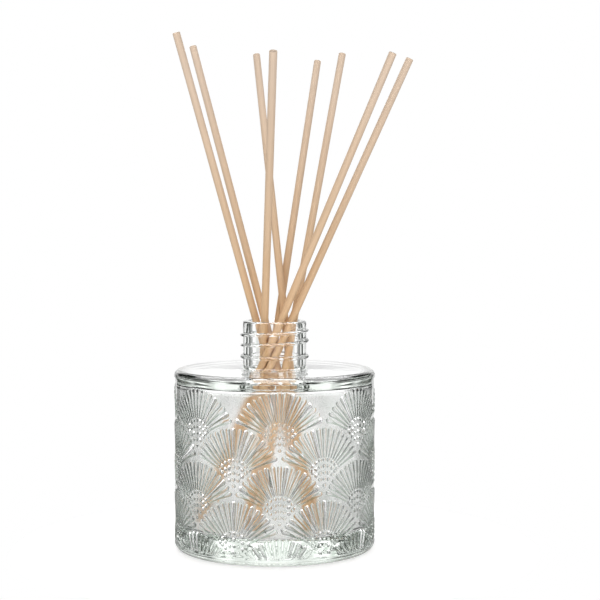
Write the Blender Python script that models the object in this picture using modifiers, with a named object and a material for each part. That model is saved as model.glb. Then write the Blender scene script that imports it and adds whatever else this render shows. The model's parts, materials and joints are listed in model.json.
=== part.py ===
"""Reed diffuser: a pressed glass bottle with a screw-cap neck and a bunch of rattan reeds.

Metres, +Z up. The origin is the middle of the face that the bottle stands on, and the front is -Y.
"""

import math

import bmesh
import bpy
from mathutils import Vector

MM = 0.001

# Bottle, outside
BODY_DIAMETER = 80.0 * MM
BODY_HEIGHT = 71.6 * MM
SHOULDER_RADIUS = 2.7 * MM
HEEL_RADIUS = 3.0 * MM
NECK_DIAMETER = 25.2 * MM
NECK_HEIGHT = 19.1 * MM
NECK_FILLET = 1.2 * MM
RIM_RADIUS = 0.9 * MM
BEAD_HEIGHT = 4.9 * MM
BEAD_WIDTH = 2.6 * MM
BEAD_DEPTH = 1.1 * MM

# Bottle, inside
WALL = 3.2 * MM
SHOULDER_THICKNESS = 5.0 * MM
BASE_THICKNESS = 10.0 * MM
NECK_BORE = 19.5 * MM
FLOOR_RADIUS = 2.0 * MM
CEILING_RADIUS = 4.0 * MM
BORE_RADIUS = 1.5 * MM

# Relief of fans round the wall: ribs spread from a pivot, in rows that stand half a fan apart.
# A rib that leans more than RIB_BEND is bent once, so that it follows the wall.
FAN_REACH = 18.6 * MM
FAN_SPREAD = math.radians(131.0)
FAN_GAP = 1.2 * MM
FAN_TURN = math.radians(3.5)
ROW_PITCH = 13.9 * MM
RIB_COUNT = 11
RIB_START = 7.5 * MM
RIB_START_WIDTH = 0.9 * MM
RIB_START_HEIGHT = 0.3 * MM
RIB_TIP_WIDTH = 2.3 * MM
RIB_BEND = math.radians(35.0)
RELIEF_HEIGHT = 0.5 * MM
RELIEF_TOP = 5.0 * MM
RELIEF_FOOT = 3.6 * MM

# Reeds
REED_DIAMETER = 3.0 * MM
REED_LENGTH = 201.0 * MM
REED_EDGE = 0.2 * MM
CLEARANCE = 0.3 * MM

# Where each reed stands on the floor and crosses the mouth, as (foot x, foot y, mouth x, mouth y):
# shares of the radius that a reed can reach on the floor and in the neck.
REED_STANCES = (
    (0.43, 0.44, -0.94, 0.26),
    (0.54, -0.44, -0.50, 0.23),
    (0.40, -0.72, 0.53, 0.57),
    (-0.22, 0.97, -0.49, -0.87),
    (-0.33, -0.68, 0.19, 0.98),
    (-0.22, -0.77, 0.97, 0.07),
    (-0.94, 0.24, 0.31, -0.81),
    (-0.91, -0.19, 0.84, -0.54),
)

# Smoothness
TURN_STEPS = 42
ARC_STEPS = 3
REED_SIDES = 16
SETTLE_ROUNDS = 3000

# Heights and radii that follow from the sizes above
SHOULDER_Z = BODY_HEIGHT
MOUTH_Z = BODY_HEIGHT + NECK_HEIGHT
CEILING_Z = BODY_HEIGHT - SHOULDER_THICKNESS
FLOOR_Z = BASE_THICKNESS
BODY_R = BODY_DIAMETER / 2
GROUND_R = BODY_R - RELIEF_HEIGHT
FAN_WIDTH = 2 * FAN_REACH * math.sin(FAN_SPREAD / 2) + FAN_GAP
FANS_IN_ROW = math.floor(math.tau * GROUND_R / FAN_WIDTH)
RIB_PITCH = FAN_SPREAD / (RIB_COUNT - 1)
FLAT = math.cos(math.pi / TURN_STEPS)
FACET_DEPTH = GROUND_R * (1 - FLAT)
RIB_ROOT = 1.3 * FACET_DEPTH
INSIDE_R = BODY_R - WALL
NECK_R = NECK_DIAMETER / 2
BORE_R = NECK_BORE / 2
REED_R = REED_DIAMETER / 2


def clear_scene():
    for thing in list(bpy.data.objects):
        bpy.data.objects.remove(thing, do_unlink=True)


def new_collection(name):
    group = bpy.data.collections.new(name)
    bpy.context.scene.collection.children.link(group)
    return group


def glass_material():
    material = bpy.data.materials.new("clear_glass")
    material.use_nodes = True
    shader = material.node_tree.nodes["Principled BSDF"]
    shader.inputs["Base Color"].default_value = (0.90, 0.94, 0.92, 1.0)
    shader.inputs["Roughness"].default_value = 0.03
    shader.inputs["IOR"].default_value = 1.5
    shader.inputs["Transmission Weight"].default_value = 1.0
    return material


def rattan_material():
    material = bpy.data.materials.new("rattan")
    material.use_nodes = True
    shader = material.node_tree.nodes["Principled BSDF"]
    shader.inputs["Base Color"].default_value = (0.73, 0.53, 0.36, 1.0)
    shader.inputs["Roughness"].default_value = 0.7
    return material


def arc(centre_x, centre_z, radius, start, end):
    """Points of a round stretch in the profile plane, from one angle in degrees to another."""
    points = []
    for step in range(ARC_STEPS + 1):
        angle = math.radians(start + (end - start) * step / ARC_STEPS)
        points.append((centre_x + radius * math.cos(angle), centre_z + radius * math.sin(angle)))
    return points


def bead_arc():
    """The half-round ring below the thread, from its top edge to its bottom edge."""
    points = []
    for step in range(2 * ARC_STEPS + 1):
        angle = math.radians(90 - 180 * step / (2 * ARC_STEPS))
        x = NECK_R + BEAD_DEPTH * math.cos(angle)
        z = SHOULDER_Z + BEAD_HEIGHT + BEAD_WIDTH / 2 * math.sin(angle)
        points.append((x, z))
    return points


def bottle_profile():
    """Half section of the glass: up the inside from the floor, over the rim and down the outside."""
    floor = arc(INSIDE_R - FLOOR_RADIUS, FLOOR_Z + FLOOR_RADIUS, FLOOR_RADIUS, -90, 0)
    ceiling = arc(INSIDE_R - CEILING_RADIUS, CEILING_Z - CEILING_RADIUS, CEILING_RADIUS, 0, 90)
    bore = arc(BORE_R + BORE_RADIUS, CEILING_Z + BORE_RADIUS, BORE_RADIUS, 270, 180)
    rim_in = arc(BORE_R + RIM_RADIUS, MOUTH_Z - RIM_RADIUS, RIM_RADIUS, 180, 90)
    rim_out = arc(NECK_R - RIM_RADIUS, MOUTH_Z - RIM_RADIUS, RIM_RADIUS, 90, 0)
    root = arc(NECK_R + NECK_FILLET, SHOULDER_Z + NECK_FILLET, NECK_FILLET, 180, 270)
    shoulder = arc(BODY_R - SHOULDER_RADIUS, SHOULDER_Z - SHOULDER_RADIUS, SHOULDER_RADIUS, 90, 0)
    ground = [(GROUND_R, SHOULDER_Z - SHOULDER_RADIUS - 2 * RELIEF_HEIGHT)]
    ground += [(GROUND_R, HEEL_RADIUS + RELIEF_HEIGHT)]
    heel = arc(BODY_R - HEEL_RADIUS, HEEL_RADIUS, HEEL_RADIUS, 0, -90)
    inside = [(0.0, FLOOR_Z)] + floor + ceiling + bore + rim_in
    outside = rim_out + bead_arc() + root + shoulder + ground + heel + [(0.0, 0.0)]
    return inside + outside


def turned(name, profile):
    """A solid of revolution about Z from a half section at +X."""
    mesh = bpy.data.meshes.new(name)
    bm = bmesh.new()
    points = [bm.verts.new((x, 0.0, z)) for x, z in profile]
    for first, second in zip(points, points[1:]):
        bm.edges.new((first, second))
    bm.to_mesh(mesh)
    bm.free()
    thing = bpy.data.objects.new(name, mesh)
    screw = thing.modifiers.new("turn", 'SCREW')
    screw.steps = TURN_STEPS
    screw.render_steps = TURN_STEPS
    screw.use_merge_vertices = True
    screw.merge_threshold = 0.01 * MM
    screw.use_smooth_shade = True
    return thing


def on_wall(along, up, out):
    """The place in space of a point given along the wall from the front, up it and out of it."""
    angle = along / GROUND_R
    radius = GROUND_R + out
    return Vector((radius * math.sin(angle), -radius * math.cos(angle), up))


def rib(bm, pivot, lean):
    """One roof-shaped rib of a fan: a three-sided bar that widens from near the pivot to the fan's edge."""
    first = max(RIB_START, (RELIEF_FOOT - pivot.y) / math.cos(lean))
    if first > (RIB_START + FAN_REACH) / 2:
        return
    bar = bmesh.ops.create_cone(bm, cap_ends=True, segments=3, radius1=1, radius2=1, depth=1)["verts"]
    if abs(lean) > RIB_BEND:
        edges = {edge for vert in bar for edge in vert.link_edges}
        faces = {face for vert in bar for face in vert.link_faces}
        cut = bmesh.ops.bisect_plane(bm, geom=[*bar, *edges, *faces], plane_co=(0, 0, 0), plane_no=(0, 0, 1))
        bar += [item for item in cut["geom_cut"] if isinstance(item, bmesh.types.BMVert)]
    for vert in bar:
        run = first + (FAN_REACH - first) * (vert.co.z + 0.5)
        share = (run - RIB_START) / (FAN_REACH - RIB_START)
        half = (RIB_START_WIDTH + (RIB_TIP_WIDTH - RIB_START_WIDTH) * share) / 2
        height = RIB_START_HEIGHT + (RELIEF_HEIGHT - RIB_START_HEIGHT) * share
        across = math.copysign(half * (height + RIB_ROOT) / height, vert.co.x)
        out = -RIB_ROOT
        if vert.co.y > 0:
            run = min(run, FAN_REACH - half)
            across = 0
            out = height
        along = pivot.x + run * math.sin(lean) + across * math.cos(lean)
        up = pivot.y + run * math.cos(lean) - across * math.sin(lean)
        vert.co = on_wall(along, up, out)


def fan_relief():
    """All ribs of all fans as one object, rooted a little way into the wall."""
    bm = bmesh.new()
    top = SHOULDER_Z - RELIEF_TOP
    spacing = math.tau * GROUND_R / FANS_IN_ROW
    for row in range(math.ceil((top - RELIEF_FOOT) / ROW_PITCH)):
        up = top - FAN_REACH - row * ROW_PITCH
        for column in range(FANS_IN_ROW):
            pivot = Vector((FAN_TURN * GROUND_R + (column + row / 2) * spacing, up))
            for index in range(RIB_COUNT):
                rib(bm, pivot, index * RIB_PITCH - FAN_SPREAD / 2)
    bmesh.ops.recalc_face_normals(bm, faces=bm.faces)
    mesh = bpy.data.meshes.new("fan_relief")
    bm.to_mesh(mesh)
    bm.free()
    return bpy.data.objects.new("fan_relief", mesh)


def raise_relief(thing, relief, group):
    """Unite the relief with the turned glass, and keep it in its own group as a hidden tool."""
    group.objects.link(relief)
    relief.hide_render = True
    relief.display_type = 'WIRE'
    union = thing.modifiers.new("fans", 'BOOLEAN')
    union.operation = 'UNION'
    union.solver = 'EXACT'
    union.object = relief


def reed_line(foot, mouth):
    """The start on the floor and the direction of a reed through two places."""
    start = Vector((foot.x, foot.y, FLOOR_Z))
    return start, (Vector((mouth.x, mouth.y, MOUTH_Z)) - start).normalized()


def nearest(first, second):
    """How far along two reeds, drawn out or not, their axes come nearest to each other."""
    (start_a, along_a), (start_b, along_b) = first, second
    reach = REED_LENGTH + (MOUTH_Z - FLOOR_Z) / min(along_a.z, along_b.z)
    between = start_a - start_b
    lean = along_a.dot(along_b)
    toward_a = along_a.dot(between)
    toward_b = along_b.dot(between)
    run_a = (lean * toward_b - toward_a) / max(1 - lean * lean, 1e-9)
    run_b = min(max(lean * run_a + toward_b, 0), reach)
    run_a = min(max(lean * run_b - toward_a, 0), reach)
    return run_a, run_b


def shift(stance, height, push):
    """Move a reed sideways at a height, sharing the move between its foot and its mouth place."""
    foot, mouth = stance
    up = (height - FLOOR_Z) / (MOUTH_Z - FLOOR_Z)
    weight = up * up + (1 - up) * (1 - up)
    foot += push * ((1 - up) / weight)
    mouth += push * (up / weight)


def keep_inside(stance):
    """Hold a reed within the floor, within the neck's lower end and within its mouth."""
    foot, mouth = stance
    slant = 1 / reed_line(foot, mouth)[1].z
    floor_reach = (INSIDE_R - FLOOR_RADIUS) * FLAT - CLEARANCE - REED_R
    bore_reach = BORE_R * FLAT - CLEARANCE - REED_R * slant
    for height, reach in ((FLOOR_Z, floor_reach), (CEILING_Z, bore_reach), (MOUTH_Z, bore_reach)):
        up = (height - FLOOR_Z) / (MOUTH_Z - FLOOR_Z)
        place = foot.lerp(mouth, up)
        if place.length > reach:
            shift(stance, height, place * (reach / place.length - 1))


def settle():
    """Lines of the reeds once they have slid clear of each other and of the glass."""
    floor_reach = INSIDE_R - FLOOR_RADIUS - CLEARANCE - REED_R
    bore_reach = BORE_R - CLEARANCE - REED_R
    stances = []
    for foot_x, foot_y, mouth_x, mouth_y in REED_STANCES:
        foot = Vector((foot_x, foot_y)) * floor_reach
        mouth = Vector((mouth_x, mouth_y)) * bore_reach
        stances.append((foot, mouth))
    spacing = REED_DIAMETER + CLEARANCE
    for turn in range(SETTLE_ROUNDS):
        touching = False
        for index, stance in enumerate(stances):
            for other in stances[:index]:
                line, other_line = reed_line(*stance), reed_line(*other)
                run, other_run = nearest(line, other_line)
                spot = line[0] + line[1] * run
                other_spot = other_line[0] + other_line[1] * other_run
                apart = spot - other_spot
                if apart.length < spacing:
                    touching = True
                    push = apart.normalized().to_2d() * ((1.01 * spacing - apart.length) / 2)
                    shift(stance, spot.z, push)
                    shift(other, other_spot.z, -push)
        for stance in stances:
            keep_inside(stance)
        if not touching:
            break
    return [reed_line(*stance) for stance in stances]


def reed(name, start, along):
    """One reed, standing on the floor with its own axis through its origin."""
    bpy.ops.mesh.primitive_cylinder_add(vertices=REED_SIDES, radius=REED_R, depth=REED_LENGTH)
    thing = bpy.context.object
    thing.name = name
    for vertex in thing.data.vertices:
        vertex.co.z += REED_LENGTH / 2
    tilt = math.sqrt(max(1 - along.z * along.z, 0))
    rise = CLEARANCE + REED_R * tilt
    thing.location = start + along * (rise / along.z)
    thing.rotation_mode = 'QUATERNION'
    thing.rotation_quaternion = along.to_track_quat('Z', 'Y')
    edge = thing.modifiers.new("cut_edge", 'BEVEL')
    edge.width = REED_EDGE
    edge.segments = 1
    edge.limit_method = 'ANGLE'
    edge.angle_limit = math.radians(60)
    thing.data.shade_smooth()
    thing.data.set_sharp_from_angle(angle=math.radians(40))
    return thing


def place(thing, group, material):
    """Put an object in the diffuser's collection alone and give it its material."""
    for holder in list(thing.users_collection):
        holder.objects.unlink(thing)
    group.objects.link(thing)
    thing.data.materials.append(material)


clear_scene()
diffuser = new_collection("reed_diffuser")

bottle = turned("glass_bottle", bottle_profile())
raise_relief(bottle, fan_relief(), new_collection("tools"))
place(bottle, diffuser, glass_material())

rattan = rattan_material()
for number, (start, along) in enumerate(settle(), 1):
    place(reed(f"reed_{number}", start, along), diffuser, rattan)
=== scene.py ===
import json
import math

import bmesh
import bpy
from mathutils import Matrix, Vector


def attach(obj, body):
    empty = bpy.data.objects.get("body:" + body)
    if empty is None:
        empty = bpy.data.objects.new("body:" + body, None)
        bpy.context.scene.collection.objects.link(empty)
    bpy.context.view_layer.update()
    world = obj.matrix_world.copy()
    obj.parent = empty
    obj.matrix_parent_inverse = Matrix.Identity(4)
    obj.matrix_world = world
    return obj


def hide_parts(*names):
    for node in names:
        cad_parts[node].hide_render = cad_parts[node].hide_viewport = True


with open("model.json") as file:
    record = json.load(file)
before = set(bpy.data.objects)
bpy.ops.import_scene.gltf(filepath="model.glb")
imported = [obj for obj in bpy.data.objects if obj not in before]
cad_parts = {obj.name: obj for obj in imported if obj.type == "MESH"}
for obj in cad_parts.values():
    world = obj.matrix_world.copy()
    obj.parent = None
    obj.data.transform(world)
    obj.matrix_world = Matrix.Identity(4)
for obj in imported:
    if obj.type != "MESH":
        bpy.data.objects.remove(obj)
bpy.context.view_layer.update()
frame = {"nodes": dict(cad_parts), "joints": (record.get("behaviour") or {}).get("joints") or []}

# Camera
# The photograph is taken with a long lens, from a little above the bottle's mouth and looking down by a
# few degrees. The lens is 10 mm to the right of the axis, so the bottle stands left of the middle.
mm = 0.001
camera_place = Vector((10.1, -638.3, 137.2)) * mm
camera_pitch = math.radians(3.44)
photo_width = 600
focal_length_in_pixels = 1608.2
sensor_width = 36.0
nearest_seen = 10.0 * mm

scene = bpy.context.scene
scene.view_settings.view_transform = 'Standard'
camera_data = bpy.data.cameras.new("camera")
camera_data.sensor_width = sensor_width
camera_data.lens = sensor_width * focal_length_in_pixels / photo_width
camera_data.clip_start = nearest_seen
camera = bpy.data.objects.new("camera", camera_data)
camera.location = camera_place
camera.rotation_euler = (math.pi / 2 - camera_pitch, 0, 0)
scene.collection.objects.link(camera)
scene.camera = camera


# Glass bottle
# One piece of clear moulded glass with a thick foot, a flat shoulder and a 28 mm screw neck. The rows of
# fans on its wall, the thread and the ring below the thread are formed by the same mould.
body_radius = 40.0 * mm
relief_height = 0.5 * mm
body_height = 71.6 * mm
shoulder_radius = 2.7 * mm
heel_radius = 3.0 * mm
wall_thickness = 3.2 * mm
shoulder_thickness = 5.0 * mm
floor_height = 10.0 * mm
floor_radius = 2.0 * mm
ceiling_radius = 2.5 * mm
neck_radius = 12.6 * mm
neck_height = 19.1 * mm
neck_fillet = 1.2 * mm
bore_radius = 9.75 * mm
bore_round = 1.5 * mm
rim_radius = 0.9 * mm
ring_height = 4.9 * mm
ring_width = 1.7 * mm
ring_depth = 1.1 * mm
round_steps = 6
ring_steps = 12
turn_steps = 192
wall_rows = 24
merge_distance = 0.001 * mm
mouth_height = body_height + neck_height
ceiling_height = body_height - shoulder_thickness
wall_radius = body_radius - relief_height
inside_radius = body_radius - wall_thickness
ground_top = body_height - shoulder_radius - 2 * relief_height
ground_foot = heel_radius + 2 * relief_height


def arc(centre, radius, start, end, steps=round_steps):
    """Points of a round stretch of a section; the radius may differ across and up."""
    across, up = radius if isinstance(radius, tuple) else (radius, radius)
    points = []
    for step in range(steps + 1):
        angle = math.radians(start + (end - start) * step / steps)
        points.append((centre[0] + across * math.cos(angle), centre[1] + up * math.sin(angle)))
    return points


def new_object(name, bm):
    """An object at the origin with the finished bmesh as its mesh."""
    mesh = bpy.data.meshes.new(name)
    bm.to_mesh(mesh)
    bm.free()
    thing = bpy.data.objects.new(name, mesh)
    scene.collection.objects.link(thing)
    return thing


floor_edge = (inside_radius - floor_radius, floor_height + floor_radius)
ceiling_edge = (inside_radius - ceiling_radius, ceiling_height - ceiling_radius)
bore_edge = (bore_radius + bore_round, ceiling_height + bore_round)
rim_inside = (bore_radius + rim_radius, mouth_height - rim_radius)
rim_outside = (neck_radius - rim_radius, mouth_height - rim_radius)
ring_middle = (neck_radius, body_height + ring_height)
neck_foot = (neck_radius + neck_fillet, body_height + neck_fillet)
shoulder_edge = (body_radius - shoulder_radius, body_height - shoulder_radius)
heel_edge = (body_radius - heel_radius, heel_radius)

half_section = [(0, floor_height)]
half_section += arc(floor_edge, floor_radius, -90, 0)
half_section += arc(ceiling_edge, ceiling_radius, 0, 90)
half_section += arc(bore_edge, bore_round, 270, 180)
half_section += arc(rim_inside, rim_radius, 180, 90)
half_section += arc(rim_outside, rim_radius, 90, 0)
half_section += arc(ring_middle, (ring_depth, ring_width / 2), 90, -90, ring_steps)
half_section += arc(neck_foot, neck_fillet, 180, 270)
half_section += arc(shoulder_edge, shoulder_radius, 90, 0)
for step in range(wall_rows + 1):
    half_section.append((wall_radius, ground_top + (ground_foot - ground_top) * step / wall_rows))
half_section += arc(heel_edge, heel_radius, 0, -90)
half_section += [(0, 0)]

bm = bmesh.new()
points = [bm.verts.new((x, 0, z)) for x, z in half_section]
edges = [bm.edges.new(pair) for pair in zip(points, points[1:])]
bmesh.ops.spin(bm, geom=points + edges, cent=(0, 0, 0), axis=(0, 0, 1), angle=math.tau,
               steps=turn_steps, use_merge=True)
bmesh.ops.remove_doubles(bm, verts=bm.verts, dist=merge_distance)
bmesh.ops.recalc_face_normals(bm, faces=bm.faces)
bottle = new_object("fan_bottle", bm)

# The screw thread on the neck: a rounded ridge of the same glass that climbs to the right in one start
# of 1.7 turns, and dies away into the neck at both ends. Its angles are in degrees.
thread_pitch = 4.15 * mm
thread_depth = 1.1 * mm
thread_width = 1.6 * mm
thread_start = -215.0
thread_end = 395.0
thread_fade = 35.0
thread_end_share = 0.3
thread_height_at_right = 82.9 * mm
thread_sink = 0.5 * mm
thread_steps = 150
ridge_steps = 10
thread_turn = thread_end - thread_start
thread_root = neck_radius - thread_sink
thread_foot = thread_height_at_right + thread_pitch * thread_start / 360
thread_climb = thread_pitch * thread_turn / 360

bm = bmesh.new()
ridge = arc((thread_root, 0), (thread_sink + thread_depth, thread_width / 2), 90, -90, ridge_steps)
points = [bm.verts.new((x, 0, z + thread_foot)) for x, z in ridge]
edges = [bm.edges.new(pair) for pair in zip(points, points[1:] + points[:1])]
bmesh.ops.rotate(bm, verts=points, matrix=Matrix.Rotation(math.radians(thread_start), 3, 'Z'))
bmesh.ops.spin(bm, geom=points + edges, cent=(0, 0, 0), axis=(0, 0, 1), angle=math.radians(thread_turn),
               steps=thread_steps, dvec=(0, 0, thread_climb / thread_steps))
bmesh.ops.holes_fill(bm, edges=[edge for edge in bm.edges if edge.is_boundary], sides=0)
bmesh.ops.recalc_face_normals(bm, faces=bm.faces)
for vert in bm.verts:
    spread = math.hypot(vert.co.x, vert.co.y)
    turned = (vert.co.z - thread_foot) / thread_climb * thread_turn
    left = min(turned, thread_turn - turned)
    grown = math.sin(min(max(left / thread_fade, 0.0), 1.0) * math.pi / 2)
    reach = thread_root + (spread - thread_root) * (thread_end_share + (1 - thread_end_share) * grown)
    vert.co.x *= reach / spread
    vert.co.y *= reach / spread
thread = new_object("thread", bm)

# The fans on the wall, of the same glass: ribs spread from a pivot, with arcs of dots below them, in rows
# that stand half a fan apart. Each is laid out flat and then wrapped round the wall.
fans_in_row = 7
fan_turn = math.radians(3.5)
fan_rows = 5
row_pitch = 13.9 * mm
fan_top = 66.6 * mm
fan_reach = 18.6 * mm
rib_count = 17
rib_pitch = math.radians(8.2)
rib_start = 7.6 * mm
rib_small = 0.42 * mm
rib_large = 1.22 * mm
rib_rise_small = 0.32 * mm
relief_foot = 3.6 * mm
dot_rows = 5
dot_arc = 6.3 * mm
dot_drop = 2.45 * mm
dot_pitch = math.radians(16.9)
dot_radius = 0.81 * mm
dot_rise = 0.5 * mm
rib_sides = 16
dot_sides = 12
ball_rows = 8
near_zero = 0.01


def add_rib(bm, lowest, angle):
    """A tapered bar with round ends, laid flat: X along the wall, Y up it and Z out of it.

    It is a ball cut at its waist: the outer half, waist included, goes to the tip, the rest to the start.
    """
    tip = fan_reach - math.sqrt(rib_large ** 2 - (rib_large - relief_height) ** 2)
    first = max(rib_start, lowest / math.cos(angle))
    if first > tip - rib_large:
        return
    share = (first - rib_start) / (tip - rib_start)
    small = rib_small + (rib_large - rib_small) * share
    rise = rib_rise_small + (relief_height - rib_rise_small) * share
    poles_along_rib = Matrix.Rotation(math.pi / 2, 4, 'X')
    ball = bmesh.ops.create_uvsphere(bm, u_segments=rib_sides, v_segments=ball_rows, radius=1,
                                     matrix=poles_along_rib)
    for vert in ball["verts"]:
        outer = vert.co.y > -near_zero
        radius = rib_large if outer else small
        height = relief_height if outer else rise
        along = tip if outer else first
        vert.co = vert.co * radius + Vector((0, along, height - radius))
    bmesh.ops.rotate(bm, verts=ball["verts"], matrix=Matrix.Rotation(-angle, 3, 'Z'))


def add_dot(bm, lowest, row, column):
    """A round bump, one of an arc of dots that grows shorter towards the fan's pivot."""
    angle = dot_pitch * column
    up = dot_arc * math.cos(angle) - dot_drop * row
    if up < lowest + dot_radius:
        return
    ball = bmesh.ops.create_uvsphere(bm, u_segments=dot_sides, v_segments=ball_rows, radius=dot_radius)
    place = Vector((dot_arc * math.sin(angle), up, dot_rise - dot_radius))
    bmesh.ops.translate(bm, verts=ball["verts"], vec=place)


def fan_mesh(lowest):
    """One fan laid flat about its pivot, with nothing below the lowest height."""
    bm = bmesh.new()
    for index in range(rib_count):
        add_rib(bm, lowest, rib_pitch * (index - (rib_count - 1) / 2))
    for row in range(dot_rows):
        for column in range(row - dot_rows + 1, dot_rows - row):
            add_dot(bm, lowest, row, column)
    mesh = bpy.data.meshes.new("fan")
    bm.to_mesh(mesh)
    bm.free()
    return mesh


bm = bmesh.new()
for row in range(fan_rows):
    pivot = fan_top - fan_reach - row_pitch * row
    fan = fan_mesh(relief_foot - pivot)
    for column in range(fans_in_row):
        middle = fan_turn + math.tau * (column + row / 2) / fans_in_row
        already = len(bm.verts)
        bm.from_mesh(fan)
        bm.verts.ensure_lookup_table()
        for vert in bm.verts[already:]:
            angle = middle + vert.co.x / wall_radius
            out = wall_radius + vert.co.z
            vert.co = Vector((out * math.sin(angle), -out * math.cos(angle), pivot + vert.co.y))
    bpy.data.meshes.remove(fan)
bmesh.ops.recalc_face_normals(bm, faces=bm.faces)
fans = new_object("fans", bm)


def fuse(thing, other):
    """Union another object into a piece and remove it."""
    union = thing.modifiers.new("union", 'BOOLEAN')
    union.operation = 'UNION'
    union.solver = 'MANIFOLD'
    union.object = other
    depsgraph = bpy.context.evaluated_depsgraph_get()
    mesh = bpy.data.meshes.new_from_object(thing.evaluated_get(depsgraph))
    thing.modifiers.remove(union)
    thing.data = mesh
    bpy.data.objects.remove(other)


glass_crease = math.radians(35)

fuse(bottle, thread)
fuse(bottle, fans)
bottle.data.shade_smooth()
bottle.data.set_sharp_from_angle(angle=glass_crease)


class Value:
    """A shader value that takes Python's operators and adds a Math node for each."""

    def __init__(self, tree, socket):
        self.tree = tree
        self.socket = socket

    def joined(self, operation, first, second=0.0):
        node = self.tree.nodes.new('ShaderNodeMath')
        node.operation = operation
        feed(self.tree, node.inputs[0], first)
        feed(self.tree, node.inputs[1], second)
        return Value(self.tree, node.outputs[0])

    def __add__(self, other):
        return self.joined('ADD', self, other)

    def __sub__(self, other):
        return self.joined('SUBTRACT', self, other)

    def __mul__(self, other):
        return self.joined('MULTIPLY', self, other)

    def __radd__(self, other):
        return self.joined('ADD', other, self)

    def __rsub__(self, other):
        return self.joined('SUBTRACT', other, self)

    def __rmul__(self, other):
        return self.joined('MULTIPLY', other, self)

    def __abs__(self):
        return self.joined('ABSOLUTE', self)


def feed(tree, socket, value):
    """Link a shader value to a socket, or set the socket to a plain value."""
    if isinstance(value, Value):
        tree.links.new(value.socket, socket)
    else:
        socket.default_value = value


class Nodes:
    """A node tree that is built up one node at a time."""

    def __init__(self, tree):
        self.tree = tree
        tree.nodes.clear()

    def node(self, kind, settings, sockets, *outputs):
        """Add a node and give the outputs that are named, or its first one."""
        node = self.tree.nodes.new(kind)
        for name, setting in settings.items():
            if name == "stops":
                while len(node.color_ramp.elements) < len(setting):
                    node.color_ramp.elements.new(1.0)
                for element, (position, colour) in zip(node.color_ramp.elements, setting):
                    element.position = position
                    element.color = colour
            else:
                setattr(node, name, setting)
        for name, value in sockets.items():
            feed(self.tree, node.inputs[name], value)
        if len(outputs) > 1:
            return [Value(self.tree, node.outputs[name]) for name in outputs]
        if outputs:
            return Value(self.tree, node.outputs[outputs[0]])
        return Value(self.tree, node.outputs[0]) if node.outputs else None

    def fade(self, value, start, end, kind='LINEAR'):
        """A value that is 0 up to the start and 1 from the end on; the end may be the lesser."""
        return self.node('ShaderNodeMapRange', {"interpolation_type": kind}, {
            "Value": value, "From Min": start, "From Max": end})


def new_finish(name):
    """A material with an empty node tree."""
    material = bpy.data.materials.new(name)
    material.use_nodes = True
    return material, Nodes(material.node_tree)


# The finish of the glass: clear and fire polished, with a faint green in the thick parts. The inner wall,
# which no mould touches, is less even. The steep foot of each rib and dot has painted shade: a fine dark
# line in the glass's colour.
glass_index = 1.5
glass_tint = (0.76, 0.88, 0.77, 1.0)
glass_tint_density = 6.5
clear = (1.0, 1.0, 1.0, 1.0)
# Painted shade: the grey green that the glass's colour turns to along the foot of each rib and dot.
painted_foot_shade = (0.43, 0.52, 0.44, 1.0)
polished = 0.02
smear_scale = 60.0
smear_roughness = 0.02
inner_wall_roughness = 0.2
ripple_scale = 260.0
ripple_height = 0.02 * mm
ripple_strength = 0.5
wall_fade_at_top = (68.0 * mm, 67.0 * mm)
wall_fade_at_foot = (4.4 * mm, 5.0 * mm)
inner_wall_fade = (1.0 * mm, 0.5 * mm)
rib_foot_begins = (wall_radius + 0.01 * mm, wall_radius + 0.06 * mm)
rib_foot_ends = (wall_radius + 0.32 * mm, wall_radius + 0.16 * mm)

glass, nodes = new_finish("moulded_glass")
place = nodes.node('ShaderNodeTexCoord', {}, {}, "Object")
ripple = nodes.node('ShaderNodeTexNoise', {}, {"Vector": place, "Scale": ripple_scale, "Detail": 2.0})
smear = nodes.node('ShaderNodeTexNoise', {}, {"Vector": place, "Scale": smear_scale, "Detail": 3.0})
x, y, z = nodes.node('ShaderNodeSeparateXYZ', {}, {0: place}, "X", "Y", "Z")
off_axis = nodes.node('ShaderNodeMath', {"operation": 'SQRT'}, {0: x * x + y * y})
on_wall = nodes.fade(z, *wall_fade_at_top) * nodes.fade(z, *wall_fade_at_foot)
inner_wall = nodes.fade(abs(off_axis - inside_radius), *inner_wall_fade) * on_wall
# Painted shade along the foot of each rib and dot: the colour darkens where the wall rises into the relief,
# and clears again below the crest.
raised = nodes.fade(off_axis, *rib_foot_begins, 'SMOOTHSTEP')
below_crest = nodes.fade(off_axis, *rib_foot_ends, 'SMOOTHSTEP')
clear_with_painted_foot_shade = nodes.node('ShaderNodeValToRGB', {"stops": [(0.0, clear), (1.0, painted_foot_shade)]}, {
    "Fac": raised * below_crest * on_wall})
bump = nodes.node('ShaderNodeBump', {}, {
    "Height": ripple, "Distance": ripple_height, "Strength": ripple_strength})
skin = nodes.node('ShaderNodeBsdfPrincipled', {}, {
    "Base Color": clear_with_painted_foot_shade, "IOR": glass_index, "Transmission Weight": 1.0, "Normal": bump,
    "Roughness": polished + inner_wall * inner_wall_roughness + smear * smear_roughness})
body = nodes.node('ShaderNodeVolumeAbsorption', {}, {"Color": glass_tint, "Density": glass_tint_density})
nodes.node('ShaderNodeOutputMaterial', {}, {"Surface": skin, "Volume": body})
bottle.data.materials.clear()
bottle.data.materials.append(glass)
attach(bottle, "bottle")
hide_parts("glass_bottle")

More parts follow.
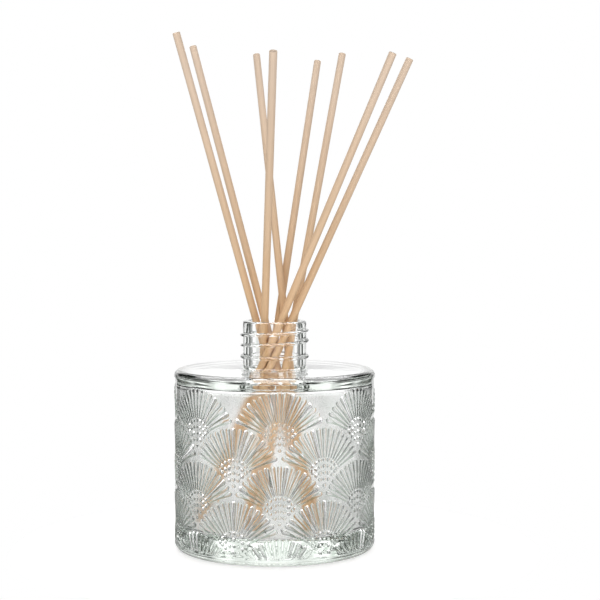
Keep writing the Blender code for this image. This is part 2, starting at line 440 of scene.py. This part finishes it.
# Reeds
# Eight lengths of peeled rattan core, cut square and stood loose in the neck. The fibres run the length
# of each reed, and the cut ends show the open pores that draw up the oil.
reed_count = 8
reed_sides = 20
reed_rings = 60
reed_edge = 0.2 * mm
reed_crease = math.radians(40)
reed_waver = 0.03 * mm
long_waves_per_metre = 90
short_waves_per_metre = 233
waver_shift = 2.1
end_skin = 0.01 * mm
grain_shift = 0.37
fibre_stretch = (1.0, 1.0, 0.02)
fibre_scale = 2600.0
fibre_depth = 0.05 * mm
fibre_strength = 0.6
patch_scale = 28.0
patch_stray = 30.0 * mm
rattan_by_height = [
    (0.0, (0.66, 0.42, 0.225, 1.0)),
    (0.45, (0.635, 0.455, 0.30, 1.0)),
    (1.0, (0.645, 0.506, 0.39, 1.0))]
palest_height = mouth_height + 110.0 * mm
shade_level = 0.78
shade_of_fibre = 0.32
shade_of_patch = 0.12
cut_darkening = 0.2
pore_darkening = 0.35
pore_fade = (0.5, 0.4)
rattan_roughness = 0.62
fibre_roughness = 0.2
rattan_gloss = 0.2

rattan, nodes = new_finish("rattan_core")
grain = nodes.node('ShaderNodeAttribute', {"attribute_name": "grain"}, {}, "Vector")
along_grain = nodes.node('ShaderNodeMapping', {}, {"Vector": grain, "Scale": fibre_stretch})
fibre = nodes.node('ShaderNodeTexNoise', {}, {"Vector": along_grain, "Scale": fibre_scale, "Detail": 4.0})
patch = nodes.node('ShaderNodeTexNoise', {}, {"Vector": grain, "Scale": patch_scale, "Detail": 3.0})
place = nodes.node('ShaderNodeTexCoord', {}, {}, "Object")
height = nodes.node('ShaderNodeSeparateXYZ', {}, {0: place}, "Z")
paleness = nodes.fade(height + patch * patch_stray, mouth_height, palest_height)
tint = nodes.node('ShaderNodeValToRGB', {"stops": rattan_by_height}, {"Fac": paleness})
cut = nodes.node('ShaderNodeAttribute', {"attribute_name": "cut"}, {}, "Fac")
pore = nodes.fade(fibre, *pore_fade)
shade = shade_level + fibre * shade_of_fibre + patch * shade_of_patch
shade = shade * (1.0 - cut * (cut_darkening + pore * pore_darkening))
colour = nodes.node('ShaderNodeVectorMath', {"operation": 'SCALE'}, {"Vector": tint, "Scale": shade})
bump = nodes.node('ShaderNodeBump', {}, {
    "Height": fibre, "Distance": fibre_depth, "Strength": fibre_strength})
skin = nodes.node('ShaderNodeBsdfPrincipled', {}, {
    "Base Color": colour, "Roughness": rattan_roughness + fibre * fibre_roughness,
    "Specular IOR Level": rattan_gloss, "Normal": bump})
nodes.node('ShaderNodeOutputMaterial', {}, {"Surface": skin})


def climb(edge):
    """How far apart in height an edge's two ends are."""
    return abs(edge.verts[0].co.z - edge.verts[1].co.z)


lift_axes = {joint["child"]: Vector(joint["axis"]).normalized() for joint in frame["joints"]}
for number in range(1, reed_count + 1):
    node = f"reed_{number}"
    along = lift_axes[node]
    spots = [vert.co for vert in frame["nodes"][node].data.vertices]
    middle = sum(spots, Vector()) / len(spots)
    runs = [(spot - middle).dot(along) for spot in spots]
    length = max(runs) - min(runs)
    radius = max(((spot - middle) - along * run).length for spot, run in zip(spots, runs))
    bm = bmesh.new()
    bmesh.ops.create_cone(bm, cap_ends=True, segments=reed_sides, radius1=radius, radius2=radius,
                          depth=length)
    ends = [edge for edge in bm.edges if climb(edge) < length / 2]
    bmesh.ops.bevel(bm, geom=ends, offset=reed_edge, offset_type='OFFSET', segments=2, profile=0.5,
                    affect='EDGES', material=-1)
    sides = [edge for edge in bm.edges if climb(edge) > length / 2]
    bmesh.ops.subdivide_edges(bm, edges=sides, cuts=reed_rings, use_grid_fill=True)
    grain_layer = bm.verts.layers.float_vector.new("grain")
    cut_layer = bm.verts.layers.float.new("cut")
    for vert in bm.verts:
        up = vert.co.z
        vert[cut_layer] = float(abs(up) > length / 2 - end_skin)
        vert[grain_layer] = vert.co + Vector((0, 0, number * grain_shift))
        waver = math.sin(up * long_waves_per_metre + number * waver_shift)
        waver += math.sin(up * short_waves_per_metre + number)
        slimming = 1 - reed_waver * (1 + waver / 2) / radius / 2
        vert.co.x *= slimming
        vert.co.y *= slimming
    turn = along.to_track_quat('Z', 'Y').to_matrix().to_4x4()
    bmesh.ops.transform(bm, matrix=Matrix.Translation(middle) @ turn, verts=bm.verts)
    reed = new_object(f"rattan_reed_{number}", bm)
    reed.data.shade_smooth()
    reed.data.set_sharp_from_angle(angle=reed_crease)
    reed.data.materials.append(rattan)
    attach(reed, node)
    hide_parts(node)

# Floor
# A round sheet of white paper, just below the bottle's foot. It glows a little where the camera sees it,
# also through the glass, so that it meets the white background, and it keeps the bottle's shadow.
sheet_radius = 105.0 * mm
sheet_gap = 0.4 * mm
sheet_sides = 96
paper_colour = (0.62, 0.62, 0.62, 1.0)
paper_roughness = 0.9
paper_glow = 0.38
paper_glow_in_view = 0.16
paper_grain = 0.01
paper_grain_scale = 8.0

bm = bmesh.new()
bmesh.ops.create_circle(bm, cap_ends=True, segments=sheet_sides, radius=sheet_radius,
                        matrix=Matrix.Translation((0, 0, -sheet_gap)))
floor = new_object("studio_floor", bm)
paper, nodes = new_finish("white_paper")
in_view, through = nodes.node('ShaderNodeLightPath', {}, {}, "Is Camera Ray", "Is Transmission Ray")
mottle = nodes.node('ShaderNodeTexNoise', {}, {"Scale": paper_grain_scale, "Detail": 2.0})
shown = nodes.node('ShaderNodeMath', {"operation": 'MAXIMUM'}, {0: in_view, 1: through})
skin = nodes.node('ShaderNodeBsdfPrincipled', {}, {
    "Base Color": paper_colour, "Roughness": paper_roughness, "Emission Strength": 1.0,
    "Emission Color": in_view * paper_glow_in_view + shown * (paper_glow + mottle * paper_grain)})
nodes.node('ShaderNodeOutputMaterial', {}, {"Surface": skin})
floor.data.materials.append(paper)

# Light
# A white studio with light panels all round: four white ones, four dimmer ones between them, and dark gaps
# that draw the edges of the glass. Matt surfaces get a soft light in place of the panels.
panel_count = 4
panel_stops = [
    (0.03, (0.80, 0.81, 0.80, 1.0)),
    (0.09, (0.04, 0.05, 0.04, 1.0)),
    (0.38, (0.04, 0.05, 0.04, 1.0)),
    (0.49, (0.9, 0.9, 0.9, 1.0)),
    (0.60, (1.3, 1.3, 1.3, 1.0)),
    (0.72, (1.3, 1.3, 1.3, 1.0)),
    (0.80, (0.80, 0.81, 0.80, 1.0)),
    (0.93, (0.80, 0.81, 0.80, 1.0)),
    (0.985, (1.12, 1.12, 1.12, 1.0))]
panel_level = 0.95
extra_level_high_up = 0.2
high_up = (0.0, 0.24)
shoulder_glow = 0.5
shoulder_glow_height = 0.11
shoulder_glow_fade = (0.07, 0.03)
top_light = 6.5
top_light_fade = (0.45, 0.75)
soft_level = 0.38
soft_from_front = 0.15
soft_from_ends = 1.45
soft_in_glass = 0.85
white = (1.0, 1.0, 1.0, 1.0)

world = bpy.data.worlds.new("studio")
world.use_nodes = True
scene.world = world
nodes = Nodes(world.node_tree)
way = nodes.node('ShaderNodeTexCoord', {}, {}, "Generated")
x, y, z = nodes.node('ShaderNodeSeparateXYZ', {}, {0: way}, "X", "Y", "Z")
in_view, glossy, through, scatterings, passes = nodes.node(
    'ShaderNodeLightPath', {}, {}, "Is Camera Ray", "Is Glossy Ray", "Is Transmission Ray", "Diffuse Depth",
    "Transmission Depth")

# The wave is 1 in the middle of a white panel and 0 halfway to the next. The gaps close towards the top,
# and at the height at which light leaves the flat shoulder, which stays bright.
heading = nodes.node('ShaderNodeMath', {"operation": 'ARCTAN2'}, {0: y, 1: x})
swing = nodes.node('ShaderNodeMath', {"operation": 'COSINE'}, {0: heading * panel_count})
band = nodes.fade(abs(z - shoulder_glow_height), *shoulder_glow_fade, 'SMOOTHSTEP')
wave = swing * 0.5 + 0.5 + z * z + band * shoulder_glow
panels = nodes.node('ShaderNodeValToRGB', {"stops": panel_stops}, {"Fac": wave})

# The panels are brighter high up. The light above them shows only in what the skin of the glass reflects,
# and not through the glass.
level = panel_level + nodes.fade(z, *high_up, 'SMOOTHSTEP') * extra_level_high_up
outside = nodes.node('ShaderNodeMath', {"operation": 'LESS_THAN'}, {0: passes, 1: 0.5})
above = outside * nodes.fade(z, *top_light_fade, 'SMOOTHSTEP') * top_light
glow = nodes.node('ShaderNodeVectorMath', {"operation": 'SCALE'}, {
    "Vector": panels, "Scale": level + above})
studio = nodes.node('ShaderNodeBackground', {}, {"Color": glow, "Strength": 1.0})

# The soft light comes mostly from the front and the back, and is stronger for what stands inside the glass.
shiny = nodes.node('ShaderNodeMath', {"operation": 'MAXIMUM'}, {0: through, 1: glossy})
matt = nodes.node('ShaderNodeMath', {"operation": 'MAXIMUM'}, {0: scatterings, 1: 1.0 - shiny})
softness = (soft_level - y * soft_from_front + y * y * soft_from_ends) * (1.0 + through * soft_in_glass)
soft = nodes.node('ShaderNodeBackground', {}, {"Color": white, "Strength": softness})
lit = nodes.node('ShaderNodeMixShader', {}, {0: matt, 1: studio, 2: soft})
backdrop = nodes.node('ShaderNodeBackground', {}, {"Color": white, "Strength": 1.0})
background = nodes.node('ShaderNodeMixShader', {}, {0: in_view, 1: lit, 2: backdrop})
nodes.node('ShaderNodeOutputWorld', {}, {"Surface": background})
